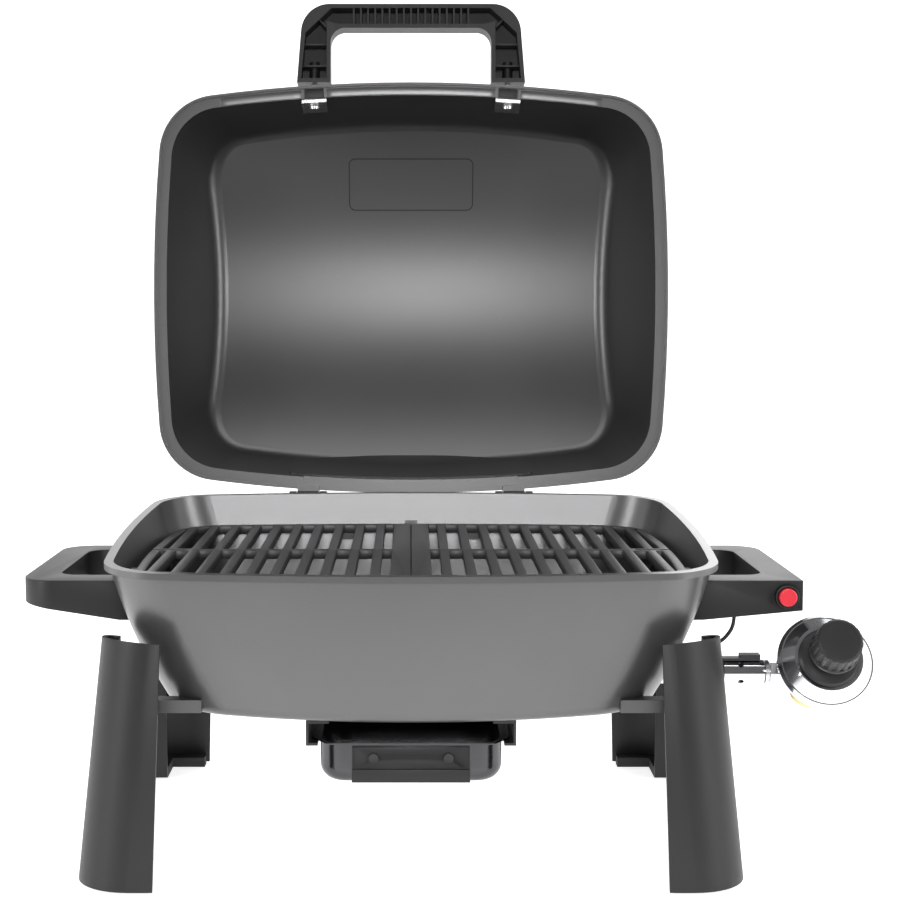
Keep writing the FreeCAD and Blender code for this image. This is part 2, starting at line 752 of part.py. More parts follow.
def igniter_spring(start):
    """Stacked ring spring behind the button."""
    rings = []
    for i in range(SPRING_RINGS):
        ring = doc.addObject("Part::Torus", "spring_ring")
        ring.Placement = Placement(Vector(), TURNS["y"])
        bind(ring, "Radius1", "spring_radius")
        bind(ring, "Radius2", "spring_wire")
        bind(ring, "Placement.Base.x", "spark_x")
        bind(ring, "Placement.Base.y", f"{start} + {i} * spring_pitch")
        bind(ring, "Placement.Base.z", "spark_level")
        rings.append(ring)
    for i in range(SPRING_RINGS - 1):
        side = 1 if i % 2 else -1
        rings.append(rod("spring_link", "y", (f"spark_x + {side} * spring_radius",
                                              f"{start} + {i} * spring_pitch", "spark_level"),
                         "0.8 * spring_wire", "spring_pitch"))
    finished(joined("igniter_spring", rings), "igniter_spring")


def igniter_lead():
    """Round lead on straight runs joined by tangent arcs."""
    points = [Vector(*point) for point in LEAD_ROUTE]
    edges = []
    here = points[0]
    for before, point, after in zip(points, points[1:], points[2:]):
        run_in = point - before
        run_out = after - point
        turn = run_in.getAngle(run_out)
        trim = 0.45 * min(run_in.Length, run_out.Length)
        start = point - Vector(run_in).normalize() * trim
        stop = point + Vector(run_out).normalize() * trim
        inward = (Vector(run_out).normalize() - Vector(run_in).normalize()).normalize()
        radius = trim / math.tan(turn / 2)
        middle = point + inward * (radius / math.cos(turn / 2) - radius)
        edges.append(Part.LineSegment(here, start).toShape())
        edges.append(Part.Arc(start, middle, stop).toShape())
        here = stop
    edges.append(Part.LineSegment(here, points[-1]).toShape())
    path = Part.Wire(edges)
    end = Part.Wire(Part.makeCircle(worth("lead_radius"), points[0], points[1] - points[0]))
    lead = doc.addObject("Part::Feature", "igniter_lead")
    lead.Shape = path.makePipeShell([end], True, True)
    finished(lead, "igniter_lead")


# ---- lid group, laid out mouth down with the mouth at height 0 ----

def lid_loft(name, inset, peak, rounding):
    levels = (("0", "lid_low_x", "lid_low_y", "0"),
              ("lid_mid_depth", "lid_mid_x", "lid_mid_y", "2"),
              ("lid_top_depth + 6", "lid_top_x", "lid_top_y", "4"))
    sections = [
        bowed(free_sketch(f"{name}_outline_{i}", level), f"{x} - {inset}", f"{y} - {inset}",
              f"lid_corner - 4 - {inset} + {more}")
        for i, (level, x, y, more) in enumerate(levels)
    ]
    wall = lofted(name + "_wall", sections)
    crown = rod(name + "_crown", "x", ("-lid_x", "0", "lid_peak - lid_bow"), f"{peak} - lid_peak + lid_bow",
                "2 * lid_x")
    solid = shared(name + "_solid", [wall, crown])
    low = worth("0.45 * lid_peak")
    return rounded(name + "_rounded", solid, lambda edge: edge.BoundBox.ZMin > low, rounding)


def lid_shell():
    dome = lid_loft("dome", "0", "lid_peak", "lid_round")
    room = lid_loft("room", "lid_wall", "lid_peak - lid_wall", "lid_round - lid_wall")
    flange_sketch = bowed(free_sketch("flange_outline", "-3"), "lid_x", "lid_y", "lid_corner")
    flange = extruded("flange", flange_sketch, "lid_flange + 3")
    step_sketch = bowed(free_sketch("step_outline", "-4"), "lid_x - 2.4", "lid_y - 2.4", "lid_corner - 2.4")
    step = extruded("step", step_sketch, "4")
    mouth_sketch = bowed(free_sketch("mouth_outline", "-4"), "mouth_x", "mouth_y", "lid_corner - 12")
    mouth = extruded("mouth", mouth_sketch, "4 + mouth_depth")
    pin_y, pin_z = (math.floor(1000 * part) / 1000 for part in hinge_in_lid())
    knuckles = []
    bores = []
    for side in (-1, 1):
        across = (f"{side} * hinge_x - knuckle_half", f"{side} * hinge_x + knuckle_half")
        knuckles.append(rod("knuckle", "x", (across[0], pin_y, pin_z), "hinge_round", "2 * knuckle_half"))
        knuckles.append(block("knuckle_arm", across, ("193.5", f"{pin_y} + hinge_round - 2"),
                              (pin_z, "lid_flange")))
        bores.append(rod("knuckle_bore", "x", (across[0] + " - 5", pin_y, pin_z), "hinge_pin + 0.05",
                         "2 * knuckle_half + 10"))
        bores.append(rod("handle_screw_hole", "y", (f"{side} * grip_screw_x", "-208", "grip_screw_up"),
                         "screw_radius + 0.1", "40"))
    rear_relief = block("rear_relief", ("-132", "132"), ("189", "202"), ("-5", "0"))
    vent = block("vent_recess", ("-vent_half", "vent_half"), ("180", "188.5"), ("-1", "lid_flange - 3"))
    cup = joined("lid_cup", [dome, flange])
    hollow = less("lid_hollow", cup, [room, mouth, step, rear_relief, vent])
    shell = less("lid_shell", joined("lid_with_knuckles", [hollow] + knuckles), bores)
    finished(shell, "lid_shell", OPEN_LID)
    return room


def hinge_in_lid():
    """Hinge axis seen from the lid's own frame."""
    spot = CLOSED_LID.inverse().multVec(HINGE)
    return spot.y, spot.z


def lid_handle():
    body = doc.addObject("PartDesign::Body", "lid_handle")
    front = "-(lid_y + grip_reach)"
    root = "-(lid_y + 0.4)"
    hole = "-(lid_y + grip_reach - grip_bar)"
    plan = body_sketch(body, "handle_plan", level="-1")
    outline(plan, (("-grip_half", root), ("-grip_half + grip_lean", front), ("grip_half - grip_lean", front),
                   ("grip_half", root),
                   ("grip_hole", root), ("grip_hole", hole), ("-grip_hole", hole), ("-grip_hole", root)))
    pad(body, plan, "grip_thick", "handle_pad")
    far = worth(front) + 1
    near = worth(hole)
    body_fillet(body, lambda edge: upright(edge, -200, 200, far - 3, far + 1), "grip_corner", "outer_corners")
    body_fillet(body, lambda edge: upright(edge, -80, 80, near - 1, near + 1), "grip_inner", "inner_corners")
    top = worth("grip_thick - 1")
    body_fillet(body, lambda edge: edge.BoundBox.ZMin > top - 0.1 and edge.BoundBox.YMin < worth(root) - 1,
                "3", "top_edges")
    inset = "grip_wall"
    under = body_sketch(body, "handle_under", level="-1")
    outline(under, ((f"-grip_half + {inset}", f"{root} - {inset}"),
                    (f"-grip_half + {inset} + 0.7 * grip_lean", f"{front} + grip_corner"),
                    (f"-grip_half + grip_corner + grip_lean", f"{front} + {inset}"),
                    (f"grip_half - grip_corner - grip_lean", f"{front} + {inset}"),
                    (f"grip_half - {inset} - 0.7 * grip_lean", f"{front} + grip_corner"),
                    (f"grip_half - {inset}", f"{root} - {inset}"),
                    (f"grip_hole + {inset}", f"{root} - {inset}"),
                    (f"grip_hole + {inset}", f"{hole} - grip_inner / 2"),
                    ("grip_hole - grip_inner / 2", f"{hole} - {inset}"),
                    ("-grip_hole + grip_inner / 2", f"{hole} - {inset}"),
                    (f"-grip_hole - {inset}", f"{hole} - grip_inner / 2"),
                    (f"-grip_hole - {inset}", f"{root} - {inset}")))
    pocket(body, under, "grip_thick - grip_wall", "underside", backwards=True)
    doc.recompute()
    rib_plan = body_sketch(body, "rib_plan", level="0")
    start = f"-grip_rib_pitch * {(GRIP_RIBS - 1) / 2} - grip_rib / 2"
    outline(rib_plan, ((start, f"{front} + {inset} - 1"), (f"{start} + grip_rib", f"{front} + {inset} - 1"),
                       (f"{start} + grip_rib", f"{hole} - {inset} + 1"), (start, f"{hole} - {inset} + 1")))
    rib = pad(body, rib_plan, "grip_thick - grip_wall", "rib")
    ribs = body.newObject("PartDesign::LinearPattern", "ribs")
    ribs.Originals = [rib]
    axis = next(item for item in body.Origin.OriginFeatures if item.Role == "X_Axis")
    ribs.Direction = (axis, [""])
    bind(ribs, "Length", f"grip_rib_pitch * {GRIP_RIBS - 1}")
    ribs.Occurrences = GRIP_RIBS
    body.Tip = ribs
    boss_plan = body_sketch(body, "boss_plan", "XZ_Plane", "lid_y + 0.4")
    for side in (-1, 1):
        circle(boss_plan, f"{side} * grip_screw_x", "grip_screw_up", "5")
    pad(body, boss_plan, "22", "bosses")
    pilot_plan = body_sketch(body, "pilot_plan", "XZ_Plane", "lid_y")
    for side in (-1, 1):
        circle(pilot_plan, f"{side} * grip_screw_x", "grip_screw_up", "screw_radius + 0.05")
    pocket(body, pilot_plan, "18", "pilots", backwards=True)
    finished(body, "lid_handle", OPEN_LID)


def lid_fasteners(room):
    """Plates that lie on the lid's inner wall, and the screws that hold the handle through them."""
    plate_room = lid_loft("plate_room", "(lid_wall + plate_sheet)", "lid_peak - lid_wall - plate_sheet",
                          "lid_round - lid_wall - plate_sheet")
    plates = []
    screws = []
    for side in (-1, 1):
        across = (f"{side} * grip_screw_x - 12", f"{side} * grip_screw_x + 12")
        blank = block("plate", across, ("-190", "-160"), ("3", "26"))
        centre = f"{side} * grip_screw_x"
        hole = rod("plate_hole", "y", (centre, "-190", "grip_screw_up"), "screw_radius + 0.1", "20")
        seat = rod("plate_seat", "y", (centre, "screw_seat", "grip_screw_up"), "screw_head + 0.3", "12")
        plates.append(less("drilled_plate", shared("bent_plate", [blank, room]), [plate_room, hole, seat]))
        head = rod("head", "y", (centre, "screw_seat", "grip_screw_up"), "screw_head", "3")
        shank = rod("shank", "y", (centre, "-216", "grip_screw_up"), "screw_radius", "screw_seat + 217")
        screws.append(joined("lid_screw", [head, shank]))
    finished(grouped("handle_brackets", plates), "handle_brackets", OPEN_LID)
    finished(grouped("handle_screws", screws), "handle_screws", OPEN_LID)
    pins = [
        rod("lid_pin", "x", (f"{side} * hinge_x - 19", "hinge_y", "hinge_level"), "hinge_pin", "38")
        for side in (-1, 1)
    ]
    finished(grouped("hinge_pins", pins), "hinge_pins")


# ---- side handles ----

def handle_blank(name, with_boss):
    body = doc.addObject("PartDesign::Body", name)
    plan = body_sketch(body, name + "_plan", level="hold_low_in")
    outline(plan, (("hold_root", "-hold_front"), ("hold_reach", "-hold_front"), ("hold_reach", "hold_back"),
                   ("hold_root", "hold_back"), ("hold_root", "hold_hole_back"),
                   ("hold_hole", "hold_hole_back"), ("hold_hole", "-hold_hole_front"),
                   ("hold_root", "-hold_hole_front")))
    pad(body, plan, "hold_top - hold_low_in", name + "_pad")
    reach = worth("hold_reach")
    gap = worth("hold_hole")
    front_limit = 0 if with_boss else -200
    body_fillet(body, lambda edge: upright(edge, reach - 1, reach + 1, front_limit, 200), "hold_corner",
                name + "_corners")
    body_fillet(body, lambda edge: upright(edge, gap - 1, gap + 1, -200, 200), "16", name + "_hole_corners")
    slope = body_sketch(body, name + "_slope", "XZ_Plane", "hold_front + 20")
    low_out = "spark_boss_low" if with_boss else "hold_low_out"
    outline(slope, (("hold_root - 5", "hold_low_in - 5"), ("hold_root + 12", "hold_low_in"),
                    ("hold_reach + 10", low_out), ("hold_reach + 10", "hold_low_in - 5")))
    pocket(body, slope, "hold_front + hold_back + 60", name + "_underside", backwards=False)
    root = body_sketch(body, name + "_root", "XZ_Plane", "hold_front + 20")
    outline(root, (("hold_root - 5", "hold_low_in - 5"), ("hold_root + 1.2", "hold_low_in - 5"),
                   ("hold_root + 15", "hold_top + 5"), ("hold_root - 5", "hold_top + 5")))
    pocket(body, root, "hold_front + hold_back + 60", name + "_seat", backwards=False)
    bolts = body_sketch(body, name + "_bolts", "YZ_Plane", "hold_root - 2")
    for end in (-1, 1):
        circle(bolts, f"{end} * 86", "hold_bolt_level", "hold_bolt + 0.05")
    pocket(body, bolts, "32", name + "_bolt_holes", backwards=True)
    doc.recompute()
    return body


def side_handles():
    left = handle_blank("handle_pattern", False)
    finished(mirrored("side_handle_left", left), "side_handle_left")
    right = handle_blank("side_handle_right", True)
    well = circle(body_sketch(right, "igniter_well", "XZ_Plane", "hold_front + 1"), "spark_x", "spark_level",
                  "spark_button + 0.5")
    pocket(right, well, "46", "igniter_bore")
    seat = circle(body_sketch(right, "bezel_seat", "XZ_Plane", "hold_front + 1"), "spark_x", "spark_level",
                  "spark_bezel + 0.05")
    pocket(right, seat, "3.1", "bezel_pocket")
    finished(right, "side_handle_right")
    bolts = []
    for side in (-1, 1):
        for end in (-1, 1):
            inner = "220" if side > 0 else "-249"
            shank = rod("bolt_shank", "x", (inner, f"{end} * 86", "hold_bolt_level"), "hold_bolt", "29")
            head_x = "217" if side > 0 else "-220.5"
            head = rod("bolt_head", "x", (head_x, f"{end} * 86", "hold_bolt_level"), "4.6", "3.5")
            bolts.append(joined("handle_bolt", [shank, head]))
    finished(grouped("side_handle_bolts", bolts), "side_handle_bolts")


# ---- folding legs ----

def leg_pattern():
    """Right front leg: a channel open to the middle of the grill, narrower at the top."""
    body = doc.addObject("PartDesign::Body", "leg_pattern")
    sections = []
    for end, level in (("low", "leg_base"), ("top", "leg_top")):
        sketch = body_sketch(body, f"leg_{end}", level=level)
        front, back = f"-leg_front_{end}", f"-leg_back_{end}"
        inner, outer = f"leg_in_{end}", f"leg_out_{end}"
        outline(sketch, (
            (inner, front), (outer, front, "leg_corner"), (outer, back, "leg_heel"), ("leg_flange", back),
            ("leg_flange", f"{back} - leg_wall"),
            (f"{outer} - leg_wall", f"{back} - leg_wall", "leg_heel - leg_wall"),
            (f"{outer} - leg_wall", f"{front} + leg_wall", "leg_corner - leg_wall"),
            (inner, f"{front} + leg_wall")))
        sections.append(sketch)
    loft = body.newObject("PartDesign::AdditiveLoft", "leg_loft")
    loft.Profile = sections[0]
    loft.Sections = [sections[1]]
    loft.Ruled = True
    cap = body_sketch(body, "leg_cap", level="leg_top - 14")
    outline(cap, (("229", "-124.5"), ("236", "-124.5"), ("240", "-129"), ("240", "-138"), ("238", "-150"),
                  ("232", "-161"), ("224", "-169.5"), ("216", "-174.5"), ("214", "-171.5"), ("222", "-160"),
                  ("228", "-146")))
    pad(body, cap, "leg_wall", "cap_pad")
    web = body_sketch(body, "leg_web", level="70")
    outline(web, (("leg_flange + 1", "-150"), ("250.2", "-136"), ("249.5", "-152"), ("244.2", "-168.6"),
                  ("233.8", "-180"), ("220.3", "-187.2"), ("204", "-188.8"), ("204", "-184"), ("221", "-177")))
    pad(body, web, "3", "web_pad")
    boss = body_sketch(body, "boss_front", "XZ_Plane", "174.3")
    circle(boss, "leg_pin_x", "leg_pin_level", "leg_boss")
    pad(body, boss, "5.2", "front_boss")
    ear = body_sketch(body, "ear_back", "XZ_Plane", "126.5")
    outline(ear, (("leg_pin_x", "leg_pin_level - leg_boss"), ("leg_flange + 8", "leg_pin_level - leg_boss"),
                  ("leg_flange + 8", "leg_pin_level + leg_boss"), ("leg_pin_x", "leg_pin_level + leg_boss")))
    pad(body, ear, "5.5", "back_ear")
    eye = body_sketch(body, "eye_back", "XZ_Plane", "126.5")
    circle(eye, "leg_pin_x", "leg_pin_level", "leg_boss")
    pad(body, eye, "5.5", "back_eye")
    bore = body_sketch(body, "pin_bore", "XZ_Plane", "180.5")
    circle(bore, "leg_pin_x", "leg_pin_level", "leg_pin + 0.05")
    pocket(body, bore, "70", "pin_hole")
    doc.recompute()
    return body


def legs():
    above = block("leg_above", ("180", "270"), ("-195", "-105"), ("189.6", "209.6"))
    above.Placement = Placement(Vector(), Rotation(Vector(0, 0, 1), Vector(-0.086, 0.125, 1)))
    leg = less("leg_trimmed", leg_pattern(), [above])
    pad_block = block("foot_block", ("leg_in_low + 3", "leg_out_low - 5.5"),
                      ("-leg_front_low + 4.2", "-leg_back_low - 5"), ("0", "9"))
    notch = block("foot_notch", ("leg_in_low", "leg_flange + 0.5"), ("-leg_front_low + 18", "-leg_back_low"),
                  ("-1", "10"))
    pad_block = less("foot_ell", pad_block, [notch])
    reach = worth("leg_out_low - 5.5")
    front = -worth("leg_front_low - 4.2")
    front_corner = rounded("foot_front_corner", pad_block,
                           lambda edge: upright(edge, reach - 1, reach + 1, front - 1, front + 1), "leg_corner - 4")
    foot = rounded("foot_pattern", front_corner,
                   lambda edge: upright(edge, reach - 1, reach + 1, front + 45, 0), "leg_heel - 3")
    pin = rod("pin_pattern", "y", ("leg_pin_x", "-180", "leg_pin_level"), "leg_pin", "53.5")
    turns = (("front_right", ""), ("front_left", "x"), ("rear_right", "y"), ("rear_left", "xy"))
    pins = []
    for where, mirrors in turns:
        for kind, source in (("leg", leg), ("foot", foot), ("pin", pin)):
            part = source
            for step, axis in enumerate(mirrors):
                normal = (1, 0, 0) if axis == "x" else (0, 1, 0)
                part = mirrored(f"{kind}_{where}_{step}", part, normal, (0, worth("leg_middle"), 0))
            if kind == "pin":
                pins.append(part)
                continue
            finished(part if mirrors else grouped(f"{kind}_{where}", [part]), f"{kind}_{where}")
    finished(grouped("leg_pins", pins), "leg_pins")


# ---- drip tray ----

def drip_tray():
    edge_y = ("-tray_front", "tray_back")
    outer = block("tray_block", ("-tray_half", "tray_half"), edge_y, ("tray_low", "tray_top"))
    inner = block("tray_room", ("-tray_half + tray_sheet", "tray_half - tray_sheet"),
                  ("-tray_front + tray_sheet", "tray_back - tray_sheet"), ("tray_low + tray_sheet", "tray_top + 5"))

    def soften(name, base, corner, low):
        sides = rounded(name + "_sides", base, lambda edge: upright(edge, -200, 200, -200, 200), corner)
        return rounded(name, sides, lambda edge: edge.BoundBox.ZMax < worth(low) + 0.1, "tray_round")

    pan = soften("tray_outside", outer, "tray_corner", "tray_low")
    room = soften("tray_inside", inner, "tray_corner - tray_sheet", "tray_low + tray_sheet")
    rim_plan = outline(free_sketch("rim_plan", "tray_top - tray_sheet"),
                       (("-tray_rim", "-tray_front + 22"), ("-tray_half + 8", "-tray_front"),
                        ("tray_half - 8", "-tray_front"), ("tray_rim", "-tray_front + 22"),
                        ("tray_rim", "tray_back"), ("-tray_rim", "tray_back")))
    rim = extruded("tray_rim_plate", rim_plan, "tray_sheet")
    rivet_holes = [
        rod("rivet_hole", "y", (f"{side} * 30", "-tray_front - 1", "84"), "2.05", "4") for side in (-1, 1)
    ]
    finished(less("drip_tray", joined("tray_blank", [pan, rim]), [room] + rivet_holes), "drip_tray")
    face = "-tray_front - 0.1"
    plate = block("grip_plate", ("-tray_grip_half", "tray_grip_half"), (f"{face} - 2.5", face), ("67", "93"))
    lip = block("grip_lip", ("-tray_grip_half", "tray_grip_half"), (f"{face} - 13", f"{face} - 1"), ("67", "70"))
    edge = block("grip_edge", ("-tray_grip_half", "tray_grip_half"), (f"{face} - 13", f"{face} - 10.5"),
                 ("67", "77.5"))
    holes = [rod("grip_hole", "y", (f"{side} * 30", "-tray_front - 5", "84"), "2.05", "8") for side in (-1, 1)]
    finished(less("tray_handle", joined("grip_blank", [plate, lip, edge]), holes), "tray_handle")
    rivets = []
    for side in (-1, 1):
        shank = rod("rivet_shank", "y", (f"{side} * 30", "-tray_front - 2.6", "84"), "2", "3.8")
        head = rod("rivet_head", "y", (f"{side} * 30", "-tray_front - 4.2", "84"), "4", "1.6")
        rivets.append(joined("rivet", [shank, head]))
    finished(grouped("tray_rivets", rivets), "tray_rivets")


def tray_rails():
    ends = ("-106", "106")
    web = block("rail_web", ("rail_out - rail_sheet", "rail_out"), ends, ("rail_low", "rail_top"))
    top = block("rail_flange", ("66", "rail_out"), ends, ("rail_top - rail_sheet", "rail_top"))
    hook = block("rail_hook", ("75", "rail_out"), ends, ("rail_low", "rail_low + rail_sheet"))
    holes = [
        rod("rail_hole", "z", ("rail_screw_x", f"{end} * rail_screw_y", "rail_top - 5"),
            "screw_radius + 0.1", "8")
        for end in (-1, 1)
    ]
    right = less("rail_blank", joined("rail_solid", [web, top, hook]), holes)
    finished(grouped("tray_rail_right", [right]), "tray_rail_right")
    finished(mirrored("tray_rail_left", right), "tray_rail_left")
    screws = []
    for side in (-1, 1):
        for end in (-1, 1):
            centre = (f"{side} * rail_screw_x", f"{end} * rail_screw_y")
            head = rod("rail_head", "z", (*centre, "rail_top - rail_sheet - 3"), "screw_head - 0.5", "3")
            shank = rod("rail_shank", "z", (*centre, "rail_top - rail_sheet - 1"), "screw_radius", "9")
            screws.append(joined("rail_screw", [head, shank]))
    finished(grouped("rail_screws", screws), "rail_screws")


# ---- cast-iron grates ----

def grates():
    plate_sketch = bowed(free_sketch("grate_outline", "grate_top - grate_depth"), "grate_x", "grate_y",
                         "grate_corner")
    plate = extruded("grate_blank", plate_sketch, "grate_depth")
    half = block("grate_half", ("0.4", "grate_x + 5"), ("-grate_y - 20", "grate_y + 20"),
                 ("grate_top - 20", "grate_top + 20"))
    inner_sketch = bowed(free_sketch("grate_inner", "grate_top - 2 * grate_depth"), "grate_x - grate_bar",
                         "grate_y - grate_bar", "grate_corner - grate_bar")
    inner = extruded("grate_window", inner_sketch, "3 * grate_depth")
    slots = []
    spans = [("grate_plate", "grate_first - grate_bar")]
    for k in range(GRATE_SLOTS):
        spans.append((f"grate_first + {k} * grate_pitch", f"grate_first + {k + 1} * grate_pitch - grate_bar"))
    height = ("grate_top - 2 * grate_depth", "grate_top + grate_depth")
    for k, span in enumerate(spans):
        rib = "4" if k < GRATE_SLOTS - 1 else "6.5"
        slots.append(block(f"slot_front_{k}", span, ("-grate_y", f"-{rib}"), height))
        slots.append(block(f"slot_back_{k}", span, (rib, "grate_y"), height))
    gaps = shared("grate_gaps", [inner, joined("grate_slots", slots)])
    notch = block("grate_notch", ("192", "grate_x + 5"), ("-2.2", "2.2"), height)
    right = less("grate_bars", shared("grate_right_blank", [plate, half]), [gaps, notch])
    finished(grouped("grate_right", [right]), "grate_right")
    finished(mirrored("grate_left", right), "grate_left")


# ---- build, test and write ----

def main():
    for make in (basin, burner, venturi, regulator, control_knob, igniter, lid_handle, side_handles, legs,
                 drip_tray, tray_rails, grates):
        make()
    lid_fasteners(lid_shell())
    doc.recompute()
    shift = Placement(Vector(-worth("middle_x"), -worth("middle_y"), 0), Rotation())
    for thing, placement in NODES:
        thing.Placement = shift * placement
    doc.recompute()
    for thing in doc.Objects:
        if "Invalid" in thing.State or "Error" in thing.State:
            raise RuntimeError(f"{thing.Name} failed: {thing.State}")
    os.makedirs("parts", exist_ok=True)
    whole = FreeCAD.BoundBox()
    for thing, _ in NODES:
        shape = thing.Shape
        if shape.isNull() or not shape.isValid() or not shape.Solids:
            raise RuntimeError(f"{thing.Label} has no valid solid")
        whole.add(shape.BoundBox)
        print(f"{thing.Label:20s} solids {len(shape.Solids)} volume {shape.Volume:10.0f}")
    print("box", whole)
    for thing, _ in NODES:
        thing.Shape.exportStep(f"parts/{thing.Label}.step")


main()
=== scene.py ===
import json
import math

import bpy
from bpy.props import FloatProperty, FloatVectorProperty, IntProperty, PointerProperty
from mathutils import Matrix, Vector


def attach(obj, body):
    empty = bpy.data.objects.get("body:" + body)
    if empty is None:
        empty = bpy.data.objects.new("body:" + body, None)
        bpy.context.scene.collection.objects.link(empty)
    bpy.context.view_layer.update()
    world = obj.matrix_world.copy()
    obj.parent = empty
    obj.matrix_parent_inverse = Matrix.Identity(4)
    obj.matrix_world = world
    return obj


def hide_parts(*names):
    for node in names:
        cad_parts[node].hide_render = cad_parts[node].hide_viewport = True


bl_info = {
    "name": "Folding Camp Grill",
    "version": (1, 0, 0),
    "blender": (4, 5, 0),
    "location": "View3D > Sidebar > Camp Grill",
    "description": "Finishes and cast, moulded and pressed detail of a folding camp grill",
    "category": "Object",
}

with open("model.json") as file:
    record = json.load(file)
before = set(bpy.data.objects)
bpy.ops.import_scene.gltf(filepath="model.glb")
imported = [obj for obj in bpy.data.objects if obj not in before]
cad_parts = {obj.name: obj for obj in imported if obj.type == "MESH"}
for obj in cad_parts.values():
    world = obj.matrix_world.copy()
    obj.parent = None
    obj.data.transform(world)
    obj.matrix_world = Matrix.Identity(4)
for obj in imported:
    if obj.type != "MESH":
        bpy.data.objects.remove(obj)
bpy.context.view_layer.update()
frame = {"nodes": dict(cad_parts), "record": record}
NODES = frame["nodes"]
BODY_OF = {node: body for body, nodes in frame["record"]["behaviour"]["bodies"].items() for node in nodes}
SLOT_OF = {part["node"]: part["material_slot"] for part in frame["record"]["subparts"]}

# the open lid's own frame: mouth down at height 0, its front towards -Y, as it was drawn in the CAD model
MIDDLE = (-0.028, -0.076507, 0.0)
HINGE = (0.0, 0.2055, 0.257)
RIM_LEVEL, RIM_TILT = 0.2539, 3.38
LID_OPEN = 98.2
# radius of the bow of the lid's front rim, and how far the rim stands in front of the lid's middle
LID_BOW, LID_FRONT = 1.5, 0.2005


# ---- shader maths ----

class Signal:
    """Output of a node that takes part in plain arithmetic."""

    def __init__(self, finish, socket):
        self.finish = finish
        self.socket = socket

    def math(self, operation, first, second=None):
        return self.finish.node("ShaderNodeMath", {"operation": operation}, {0: first, 1: second})

    def __add__(self, other):
        return self.math("ADD", self, other)

    def __radd__(self, other):
        return self.math("ADD", other, self)

    def __sub__(self, other):
        return self.math("SUBTRACT", self, other)

    def __rsub__(self, other):
        return self.math("SUBTRACT", other, self)

    def __mul__(self, other):
        return self.math("MULTIPLY", self, other)

    def __rmul__(self, other):
        return self.math("MULTIPLY", other, self)

    def __gt__(self, other):
        return self.math("GREATER_THAN", self, other)

    def __pow__(self, other):
        return self.math("POWER", self, other)


class Finish:
    """One material, with its principled shader and the nodes that feed it."""

    def __init__(self, name, metallic=0.0, coat=0.0, coat_roughness=0.2, specular=0.5):
        self.material = bpy.data.materials.new(name)
        self.material.use_nodes = True
        self.nodes = self.material.node_tree.nodes
        self.links = self.material.node_tree.links
        self.shader = next(node for node in self.nodes if node.type == "BSDF_PRINCIPLED")
        for socket, value in (("Metallic", metallic), ("Coat Weight", coat),
                              ("Coat Roughness", coat_roughness), ("Specular IOR Level", specular)):
            self.shader.inputs[socket].default_value = value
        self.place = self.node("ShaderNodeTexCoord", output="Object")

    def node(self, kind, settings=None, inputs=None, output=0):
        """Any node: its settings first, then the values or links of its sockets."""
        made = self.nodes.new(kind)
        for name, value in (settings or {}).items():
            if name == "stops":
                for i, (position, colour) in enumerate(value):
                    stop = made.color_ramp.elements[i] if i < 2 else made.color_ramp.elements.new(position)
                    stop.position = position
                    stop.color = colour
            else:
                setattr(made, name, value)
        for socket, value in (inputs or {}).items():
            if isinstance(value, Signal):
                self.links.new(value.socket, made.inputs[socket])
            elif value is not None:
                made.inputs[socket].default_value = value
        return Signal(self, made.outputs[output])

    def noise(self, scale, detail=3.0, roughness=0.55, stretch=None):
        """Noise from 0 to 1, with its scale in cells a metre."""
        place = self.place
        if stretch:
            place = self.node("ShaderNodeVectorMath", {"operation": "MULTIPLY"}, {0: place, 1: stretch})
        return self.node("ShaderNodeTexNoise", None,
                         {"Vector": place, "Scale": scale, "Detail": detail, "Roughness": roughness}, "Fac")

    def cells(self, scale):
        return self.node("ShaderNodeTexVoronoi", None, {"Vector": self.place, "Scale": scale}, "Distance")

    def mixed(self, share, first, second):
        """Colour between two colours."""
        return self.node("ShaderNodeMix", {"data_type": "RGBA"}, {0: share, 6: first, 7: second}, 2)

    def clamped(self, signal, low, high):
        return self.node("ShaderNodeMapRange", None,
                         {"Value": signal, "From Min": low, "From Max": high, "To Min": 0.0, "To Max": 1.0})

    def edges(self, low, high):
        """Share that is high on raised edges, low in hollows."""
        point = self.node("ShaderNodeNewGeometry", output="Pointiness")
        return self.clamped(point, low, high)

    def feed(self, socket, signal):
        self.links.new(signal.socket, self.shader.inputs[socket])

    def rough(self, signal):
        self.feed("Roughness", signal)

    def colour(self, signal):
        self.feed("Base Color", signal)

    def bump(self, height, strength, distance):
        self.feed("Normal", self.node("ShaderNodeBump", None,
                                      {"Height": height, "Strength": strength, "Distance": distance}))


def tone(colour, factor):
    return (*(min(1.0, part * factor) for part in colour[:3]), 1.0)


FINISHES = {}


def powder_coat(name, colour, rough, metallic, grain=1400.0):
    """Satin coat sprayed on cast metal: fine orange peel, slightly uneven gloss."""
    finish = Finish(name, metallic=metallic, coat=0.12, coat_roughness=0.25)
    cloud = finish.noise(9.0, 4.0)
    speck = finish.noise(grain, 2.0)
    peel = finish.noise(620.0, 3.0)
    share = cloud * 0.6 + speck * 0.4
    finish.colour(finish.mixed(share, tone(colour, 0.86), tone(colour, 1.14)))
    finish.rough(rough - 0.05 + peel * 0.06 + cloud * 0.04)
    finish.bump(peel * 0.7 + speck * 0.3, 0.16, 0.0004)
    FINISHES[name] = finish.material


